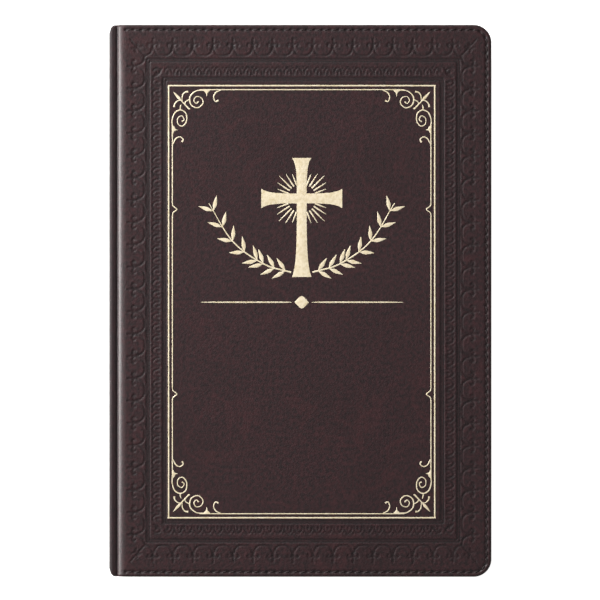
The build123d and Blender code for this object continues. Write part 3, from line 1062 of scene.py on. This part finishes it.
for sign in (-1, 1):
    end_x, end_y = outer_x + OUTER_LINE / 2, outer_y
    across = [(-end_x, sign * end_y, OUTER_LINE), (end_x, sign * end_y, OUTER_LINE)]
    upright = [(sign * outer_x, -end_y, OUTER_LINE), (sign * outer_x, end_y, OUTER_LINE)]
    run = FLOURISH_END[0]
    level = [(-run, sign * inner_y, INNER_LINE), (run, sign * inner_y, INNER_LINE)]
    strokes = [across, upright, level]
    x = sign * inner_x
    inward = sign * (inner_x - NOTCH_DEPTH)
    low, high = NOTCH_Y - NOTCH_HALF, NOTCH_Y + NOTCH_HALF
    strokes.append([(x, -low, INNER_LINE), (x, low, INNER_LINE)])
    for end in (-1, 1):
        strokes.append([(x, end * high, INNER_LINE), (x, end * FLOURISH_END[1], INNER_LINE)])
        brace = [(x, low), (x - sign * 0.3, low + 1.0), (inward, NOTCH_Y - 0.25), (inward, NOTCH_Y)]
        brace += [(inward, NOTCH_Y + 0.25), (x - sign * 0.3, high - 1.0), (x, high)]
        strokes.append([(bx, end * by, INNER_LINE) for bx, by in brace])
    for stroke in strokes:
        moved = [(px + FOIL_CENTRE[0], py + FOIL_CENTRE[1], width) for px, py, width in stroke]
        frame_strokes.append(moved)
gold_frame = stamp_gold("gold_frame", "frame_die_mark_and_painted_shade_rims", frame_strokes, on_front, "front_cover")
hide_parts("front_foil_frame")

# %% [markdown]
# ## Cross and sprigs
# The field carries a plain Latin cross with flared ends, thin rays between its arms and a sprig of
# leaves on each side, over a rule with a lozenge. They are generic church ornaments.

# %% Emblem
CROSS_Y = 43.0
CROSS_ARMS = ((17.0, 0), (17.0, 90), (33.0, 180), (17.0, 270))
ARM = 5.0
FLARE = 9.8
RAYS = 5
RAY_START = 6.0
RAY_END = 13.5
RAY_FIRST = 21
RAY_SPREAD = 48
SPRIG_LEAVES = 8
LEAF_LEAN = 42
RULE_Y = -0.6
RULE_REACH = 42.5
LOZENGE = 3.1

emblem_strokes = []
for length, turn in CROSS_ARMS:
    dx, dy = math.sin(math.radians(turn)), math.cos(math.radians(turn))
    shares = (0.0, 0.35, 0.7, 0.9, 1.0)
    widths = (ARM, ARM, ARM + 0.8, FLARE - 2.2, FLARE)
    emblem_strokes.append([(dx * length * k, dy * length * k, w) for k, w in zip(shares, widths)])
for quadrant in range(4):
    for ray in range(RAYS):
        angle = math.radians(90 * quadrant + RAY_FIRST + RAY_SPREAD * ray / (RAYS - 1))
        reach = RAY_END - 2.5 * abs(ray - (RAYS - 1) / 2) / 2
        ends = ((RAY_START, 0.9), ((RAY_START + reach) / 2, 0.7), (reach, 0.2))
        emblem_strokes.append([(math.cos(angle) * r, math.sin(angle) * r, w) for r, w in ends])
for side in (-1, 1):
    stem = [(side * 4.5, -31.0, 0.9), (side * 16.0, -27.5, 0.8), (side * 29.0, -18.0, 0.7)]
    stem.append((side * 39.0, -2.0, 0.4))
    emblem_strokes.append(stem)
    line = smooth_stroke(stem)
    for leaf in range(SPRIG_LEAVES):
        k = int((leaf + 0.8) / (SPRIG_LEAVES + 0.3) * (len(line) - 1))
        heading = math.atan2(line[k + 1][1] - line[k][1], line[k + 1][0] - line[k][0])
        for lean in (-1, 1):
            angle = heading + lean * math.radians(LEAF_LEAN)
            ends = ((0.3, 0.2), (2.4, 2.0), (4.2, 1.7), (6.6, 0.15))
            emblem_strokes.append(
                [
                    (line[k][0] + math.cos(angle) * r, line[k][1] + math.sin(angle) * r, w)
                    for r, w in ends
                ]
            )
emblem_strokes = [[(x, y + CROSS_Y, w) for x, y, w in stroke] for stroke in emblem_strokes]
for side in (-1, 1):
    ends = ((4.2, 0.3), (10.0, 0.75), (RULE_REACH - 8, 0.7), (RULE_REACH, 0.3))
    emblem_strokes.append([(side * x, RULE_Y, w) for x, w in ends])
emblem_strokes.append([(-LOZENGE, RULE_Y, 0.05), (0, RULE_Y, 2 * LOZENGE), (LOZENGE, RULE_Y, 0.05)])
emblem_strokes = [[(x + FOIL_CENTRE[0], y, w) for x, y, w in stroke] for stroke in emblem_strokes]
gold_emblem = stamp_gold("gold_cross", "cross_die_mark_and_painted_shade_rims", emblem_strokes, on_front, "front_cover")
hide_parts("front_foil_emblem")

# %% Gold on the spine
SPINE_RULES = (96.0, 92.5, 50.0, 46.5, -88.0, -91.5)
SPINE_CROSS_Y = 71.0
SPINE_LOZENGES = (30.0, -20.0, -70.0)
SPINE_REACH = 10.5


def on_spine(across, y, lift):
    """Points on the spine. across is the length from the spine's middle, upwards."""
    x, z, normal_x, normal_z = profile(np.abs(across))
    z = np.where(across < 0, thickness - z, z)
    normal_z = np.where(across < 0, -normal_z, normal_z)
    return np.c_[x + normal_x * lift, y, z + normal_z * lift]


spine_strokes = []
for rule_y in SPINE_RULES:
    spine_strokes.append([(a, rule_y, 0.8) for a in np.linspace(-SPINE_REACH, SPINE_REACH, 9)])
for lozenge_y in SPINE_LOZENGES:
    spine_strokes.append([(a, lozenge_y, w) for a, w in ((-2.6, 0.1), (0, 5.2), (2.6, 0.1))])
    for side in (-1, 1):
        spine_strokes.append([(side * a, lozenge_y, w) for a, w in ((4, 0.3), (6, 0.8), (9, 0.2))])
spine_strokes.append([(0, SPINE_CROSS_Y + v, w) for v, w in ((8, 3.4), (5, 2), (-6, 2), (-11, 3.4))])
spine_strokes.append([(a, SPINE_CROSS_Y + 2, w) for a, w in ((-6, 3.4), (-3, 2), (3, 2), (6, 3.4))])
spine_gold = stamp_gold("spine_gold", "spine_die_mark_and_painted_shade_rims", spine_strokes, on_spine, "page_block")
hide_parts("spine_foil")

# %% [markdown]
# ## Paper
# Bible paper is thin, opaque and slightly warm. The edges of the block are gilt: gold leaf burnished
# on the clamped pages, so the stacked leaves still show as fine lines. One real leaf is 0.03 mm, and
# the lines are drawn at 0.25 mm so that they show. The open pages carry two grey columns of short
# dashes that stand for print, without letters.

# %% Paper materials
LEAF_LINE = 0.25
COLUMN = 66.0
TEXT_LINE = 3.4
TEXT_MIDDLE = 1.5
TEXT_HALF = 98
TEXT_HEIGHT = 1.3
GUTTER = 2.5
DASH = 2.2
bible_paper, tree, shader = new_material("bible_paper")
rest = add_node(tree, "Attribute", attribute_name="rest").outputs["Vector"]
fibre = add_node(tree, "TexNoise", {"Vector": rest, "Scale": 1 / (2.0 * MM), "Detail": 4.0})
sheet_tone = add_node(
    tree, "Mix", {0: fibre.outputs["Fac"], 6: linear("#d6cfbe"), 7: linear("#cbc3af")}, data_type="RGBA"
)
axes = add_node(tree, "SeparateXYZ", {"Vector": rest})
from_middle = add_node(tree, "Math", {0: axes.outputs["X"], 1: TEXT_MIDDLE * MM}, operation="SUBTRACT")
spread_x = add_node(tree, "Math", {0: from_middle.outputs["Value"]}, operation="ABSOLUTE")
in_column = add_node(
    tree,
    "Math",
    {0: spread_x.outputs["Value"], 1: (GUTTER + COLUMN / 2) * MM, 2: COLUMN / 2 * MM - 0.002},
    operation="COMPARE",
)
spread_y = add_node(tree, "Math", {0: axes.outputs["Y"]}, operation="ABSOLUTE")
in_height = add_node(
    tree, "Math", {0: spread_y.outputs["Value"], 1: TEXT_HALF * MM}, operation="LESS_THAN"
)
line_share = add_node(
    tree, "Math", {0: axes.outputs["Y"], 1: TEXT_LINE * MM}, operation="FLOORED_MODULO"
)
on_line = add_node(
    tree, "Math", {0: line_share.outputs["Value"], 1: TEXT_HEIGHT * MM}, operation="LESS_THAN"
)
dash_place = add_node(
    tree, "VectorMath", {0: rest, 1: (1 / (DASH * MM), 3.7 / (TEXT_LINE * MM), 0)}, operation="MULTIPLY"
)
dashes = add_node(
    tree, "TexNoise", {"Vector": dash_place.outputs["Vector"], "Scale": 1.0, "Detail": 1.0}
)
is_dash = add_node(tree, "Math", {0: dashes.outputs["Fac"], 1: 0.47}, operation="GREATER_THAN")
ink = is_dash.outputs["Value"]
for mask in (on_line, in_height, in_column):
    ink = add_node(tree, "Math", {0: ink, 1: mask.outputs["Value"]}, operation="MULTIPLY")
    ink = ink.outputs["Value"]
printed = add_node(
    tree, "Mix", {0: ink, 6: sheet_tone.outputs[2], 7: linear("#6f6a62")}, data_type="RGBA"
)
tree.links.new(printed.outputs[2], shader.inputs["Base Color"])
fibre_bump = add_node(
    tree, "Bump", {"Height": fibre.outputs["Fac"], "Strength": 0.25, "Distance": 0.1 * MM}
)
tree.links.new(fibre_bump.outputs["Normal"], shader.inputs["Normal"])
shader.inputs["Roughness"].default_value = 0.75

gilt_edge, tree, shader = new_material("burnished_gilt_edge")
rest = add_node(tree, "Attribute", attribute_name="rest").outputs["Vector"]
stretched = add_node(tree, "VectorMath", {0: rest, 1: (0.004, 0.004, 1.0)}, operation="MULTIPLY")
leaves = add_node(
    tree,
    "TexNoise",
    {"Vector": stretched.outputs["Vector"], "Scale": 1 / (LEAF_LINE * MM), "Detail": 2.0},
)
leaf_edges = leaves.outputs["Fac"]
tones_and_bump(tree, shader, leaf_edges, ("#e6c684", "#a8813f"), leaf_edges, 0.6, 0.12)
shader.inputs["Metallic"].default_value = 0.8
shader.inputs["Roughness"].default_value = 0.36
print("paper and gilt edge")

# %% [markdown]
# ## Sections
# The block is 24 folded sections, sewn through their folds. Each one is built as a stack of thin
# steps, every step a few hundredths of a millimetre in or out, because no two leaves are cut or
# folded exactly alike. The fold is rounded. Every section has more points across the page over
# its first 30 mm from the fold.

# %% Section maker
SECTION_COUNT = 24
LEAF_STEPS = 6
PAGE_CORNER = 6.0
FOLD_ROUND = 0.5
LEAF_JITTER = 0.05
BEND_WIDTH = 30.0
FILL = 0.994
page_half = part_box("section_12")[1].y / MM
tops = [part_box(f"section_{n:02d}")[1].z / MM for n in (1, SECTION_COUNT)]
pitch = (tops[0] - tops[1]) / (SECTION_COUNT - 1)


def page_outline(back_x, fore_x, half, stations):
    """Head half of a page's outline, from the fold to the middle of the fore-edge corner."""
    turn = np.linspace(0, math.pi / 2, 8)
    x = [back_x + k for k in stations if back_x + k < fore_x - PAGE_CORNER]
    y = [half] * len(x)
    x += list(fore_x - PAGE_CORNER + PAGE_CORNER * np.sin(turn))
    y += list(half - PAGE_CORNER + PAGE_CORNER * np.cos(turn))
    return np.array(x), np.array(y)


def make_leaves(name, back_x, fore_x, half, low, high, steps, materials, seed):
    """A stack of leaves as one closed piece, with more points near its fold."""
    chance = np.random.default_rng(seed)
    stations = [0, 0.4, 1, *np.arange(2, BEND_WIDTH + 6, 1.5), *np.arange(BEND_WIDTH + 6, 150, 14)]
    points = []
    for level in range(steps + 1):
        middle = 2 * level / steps - 1
        nose = FOLD_ROUND * min(1, (high - low)) * (1 - math.sqrt(max(0, 1 - middle**2)))
        trim = chance.normal(0, LEAF_JITTER, 2) if 0 < level < steps else np.array([0.12, 0.08])
        x, y = page_outline(back_x, fore_x - abs(trim[0]), half - abs(trim[1]), stations)
        x[0] += nose
        x[1] += nose * 0.3
        z = np.full(len(x), low + (high - low) * level / steps)
        points.append(np.c_[x, y, z])
        points.append(np.c_[x[::-1], -y[::-1], z])
    points = np.concatenate(points)
    loop = len(points) // (steps + 1)
    half_count = loop // 2
    faces = []
    slots = []
    for level in range(steps):
        for k in range(loop):
            a = level * loop + k
            b = level * loop + (k + 1) % loop
            faces.append((a, a + loop, b + loop, b))
            slots.append(1)
    for base, turned in ((0, True), (steps * loop, False)):
        for k in range(half_count - 1):
            face = (base + k, base + loop - 1 - k, base + loop - 2 - k, base + k + 1)
            faces.append(tuple(reversed(face)) if turned else face)
            slots.append(0)
    return make_piece(name, points, faces, materials, slots, smooth=False)


# %% Make the sections and join those of the page block to it
bodies = {node: body for body, nodes in frame["record"]["behaviour"]["bodies"].items() for node in nodes}
for number in range(1, SECTION_COUNT + 1):
    node = f"section_{number:02d}"
    low, high = (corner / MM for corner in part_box(node))
    middle = (low.z + high.z) / 2
    span = (middle - pitch * FILL / 2, middle + pitch * FILL / 2)
    finish = [bible_paper, gilt_edge]
    title = f"leaves_{number:02d}"
    leaves = make_leaves(title, low.x, high.x, page_half, *span, LEAF_STEPS, finish, number)
    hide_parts(node)
    if bodies[node] == "page_block":
        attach(leaves, "page_block")
    else:
        end = ((low.x + BEND_WIDTH) * MM, 0, middle * MM)
        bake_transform(leaves)

# %% [markdown]
# ## Endpapers, boards, cloth and bands
# The pastedown and flyleaf are one heavy cream sheet. Under them the board, its paper filling and
# the cloth flange stay as they are built, with materials for grey board, kraft paper and an open
# weave. The bands at head and tail are striped cotton over a core.


# %% Materials for rigid inner parts
def plain_material(name, light, dark, size, roughness, depth):
    """A matt sheet material with soft mottling and a small bump, by object position."""
    material, tree, shader = new_material(name)
    place = add_node(tree, "TexCoord").outputs["Object"]
    noise = add_node(tree, "TexNoise", {"Vector": place, "Scale": 1 / (size * MM), "Detail": 5.0})
    mottling = noise.outputs["Fac"]
    tones_and_bump(tree, shader, mottling, (light, dark), mottling, 0.4, depth)
    shader.inputs["Roughness"].default_value = roughness
    return material


def woven_material(name, light, dark, pitch_mm, axes_used):
    """An open weave: two sets of threads crossing, drawn at the thread spacing given."""
    material, tree, shader = new_material(name)
    place = add_node(tree, "TexCoord").outputs["Object"]
    height = None
    for axis in axes_used:
        wave = add_node(
            tree,
            "TexWave",
            {"Vector": place, "Scale": 0.314 / (pitch_mm * MM), "Distortion": 0.6},
            bands_direction=axis,
        )
        if height is None:
            height = wave.outputs["Fac"]
        else:
            height = add_node(tree, "Math", {0: height, 1: wave.outputs["Fac"]}, operation="MAXIMUM")
            height = height.outputs["Value"]
    tones_and_bump(tree, shader, height, (dark, light), height, 0.8, 0.15)
    shader.inputs["Roughness"].default_value = 0.85
    return material


inner_materials = {
    "grey_board": plain_material("grey_bookboard", "#9a958c", "#6f6a62", 1.6, 0.9, 0.2),
    "lining_paper": plain_material("kraft_lining_paper", "#a98b66", "#8d7150", 2.4, 0.85, 0.1),
    "binding_cloth": woven_material("open_weave_mull", "#e4dcc6", "#a89d83", 0.9, "XY"),
    "endpaper": plain_material("cream_endpaper", "#cfc6b1", "#c2b79d", 3.0, 0.7, 0.08),
    "sewing_thread": plain_material("linen_sewing_thread", "#efe8d6", "#c9bea2", 0.4, 0.7, 0.1),
    "band_cloth": woven_material("striped_cotton_band", "#d8b25c", "#4a1c1e", 2.2, "Z"),
}
inner_nodes = {
    "grey_board": ["front_board", "back_board"],
    "lining_paper": ["front_infill", "back_infill", "spine_lining", "spine_stiffener"],
    "binding_cloth": ["front_mull_flange", "back_mull_flange", "mull"],
    "endpaper": ["front_pastedown", "back_pastedown"],
    "sewing_thread": ["sewing_threads"],
    "band_cloth": ["headband", "tailband"],
}
for slot_name, nodes in inner_nodes.items():
    for node in nodes:
        cad_node = frame["nodes"][node]
        cad_node.data.materials.clear()
        cad_node.data.materials.append(inner_materials[slot_name])
print("inner parts:", sum(len(nodes) for nodes in inner_nodes.values()))

# %% Flyleaves
for side in ("front", "back"):
    low, high = (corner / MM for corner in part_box(f"{side}_flyleaf"))
    finish = [inner_materials["endpaper"], gilt_edge]
    span = (low.z, high.z)
    flyleaf = make_leaves(f"{side}_endleaf", low.x, high.x, high.y, *span, 1, finish, SECTION_COUNT + 1)
    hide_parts(f"{side}_flyleaf")
    level = (low.z + high.z) / 2
    end = ((low.x + BEND_WIDTH) * MM, 0, level * MM)
    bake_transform(flyleaf)
